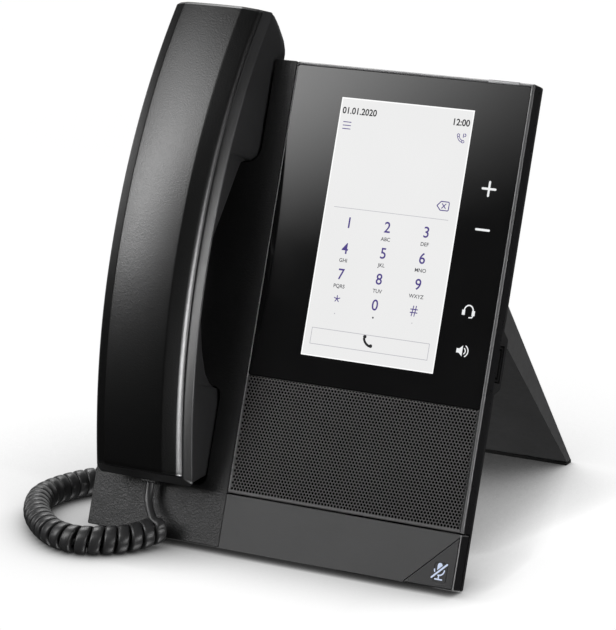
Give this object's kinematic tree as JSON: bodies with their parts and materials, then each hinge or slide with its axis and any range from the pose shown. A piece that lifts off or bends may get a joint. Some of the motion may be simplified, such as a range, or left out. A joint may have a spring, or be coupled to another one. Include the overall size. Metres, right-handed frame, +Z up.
{
  "type": "desk ip phone",
  "caption": "Leaning touch-screen desk phone with a corded handset in a side cradle, a speaker grille, a corner mute key and a clip-on rear stand.",
  "frame": {"origin": "on the desk, directly below the middle of the base's front bottom edge", "axes": "+Z up from the desk, -Y towards the user (the screen leans back towards +Y), +X to the user's right"},
  "size_m": [0.2154, 0.2221, 0.2252],
  "materials": {
    "charcoal_housing": "fine spark-eroded texture, very dark charcoal",
    "cradle_plastic": "fine spark-eroded texture, charcoal",
    "bezel_plastic": "satin graphite edge trim",
    "chin_plastic": "smooth satin graphite",
    "cover_glass": "black-backed gloss cover glass",
    "touch_film": "amber film with printed electrodes",
    "lcd_glass": "display cell",
    "backlight": "brushed tray",
    "polyimide": "flexible circuit",
    "grille_plastic": "perforated, satin black",
    "acoustic_cloth": "woven black",
    "key_lens": "translucent white",
    "switch_plastic": "black with steel cover",
    "board": "green solder mask",
    "rubber_black": "matt",
    "stand_plastic": "fine texture, dark grey",
    "speaker_steel": "black zinc",
    "speaker_cone": "pressed paper with a rubber roll",
    "magnet": "bright zinc",
    "enclosure_plastic": "plain black",
    "tin_plate": "tinned",
    "jack_plastic": "black with gold contacts",
    "steel_screw": "zinc plated",
    "spring_steel": "bright wire",
    "handset_outer": "satin bevels with a speckled centre band",
    "handset_inner": "fine texture, charcoal",
    "capsule_metal": "drawn can",
    "cord_jacket": "smooth satin vinyl",
    "plug_plastic": "black moulded plug"
  },
  "bodies": {
    "root": {"rear_housing": "charcoal_housing", "cradle_cover": "cradle_plastic", "display_frame": "bezel_plastic", "display_glass": "cover_glass", "touch_sensor": "touch_film", "lcd_cell": "lcd_glass", "lcd_backlight": "backlight", "display_ribbon": "polyimide", "speaker_grille": "grille_plastic", "grille_cloth": "acoustic_cloth", "chin_panel": "chin_plastic", "mute_switch": "switch_plastic", "mute_board": "board", "message_light_lens": "key_lens", "message_light_board": "board", "base_feet": "rubber_black", "speaker_gasket": "rubber_black", "speaker_basket": "speaker_steel", "speaker_cone": "speaker_cone", "speaker_magnet": "magnet", "speaker_box": "enclosure_plastic", "main_board": "board", "shield_can": "tin_plate", "lan_jack": "tin_plate", "pc_jack": "tin_plate", "base_handset_jack": "jack_plastic", "base_headset_jack": "jack_plastic", "usb_port": "tin_plate", "microphone_boot": "rubber_black", "base_microphone": "capsule_metal", "hook_spring": "spring_steel", "hook_switch": "switch_plastic", "hook_board": "board", "housing_screws": "steel_screw", "board_screws": "steel_screw", "coiled_cord": "cord_jacket", "cord_base_plug": "plug_plastic"},
    "handset": {"handset_outer_shell": "handset_outer", "handset_inner_shell": "handset_inner", "receiver_capsule": "capsule_metal", "receiver_gasket": "rubber_black", "handset_microphone": "capsule_metal", "handset_microphone_boot": "rubber_black", "handset_weight": "magnet", "handset_jack": "jack_plastic", "handset_screws": "steel_screw", "cord_handset_plug": "plug_plastic"},
    "hook": {"hook_plunger": "switch_plastic"},
    "mute": {"mute_key": "chin_plastic", "mute_key_lens": "key_lens"},
    "stand": {"stand_leg": "stand_plastic", "stand_foot_strip": "rubber_black"}
  },
  "joints": [
    {"name": "handset_lift", "type": "slide", "parent": "root", "child": "handset", "axis": [0, -0.9423, 0.3348], "range_m": [0, 0.08]},
    {"name": "hook_rise", "type": "slide", "parent": "root", "child": "hook", "axis": [0, -0.9423, 0.3348], "range_m": [0, 0.003]},
    {"name": "mute_press", "type": "slide", "parent": "root", "child": "mute", "axis": [0, 0.9423, -0.3348], "range_m": [0, 0.0006], "stiffness_N_per_m": 300, "springref_m": -0.003},
    {"name": "stand_release", "type": "slide", "parent": "root", "child": "stand", "axis": [0, -0.3348, -0.9423], "range_m": [0, 0.012]}
  ],
  "couplings": [
    {"joint": "hook_rise", "follows": "handset_lift", "ratio": 0.0375}
  ]
}
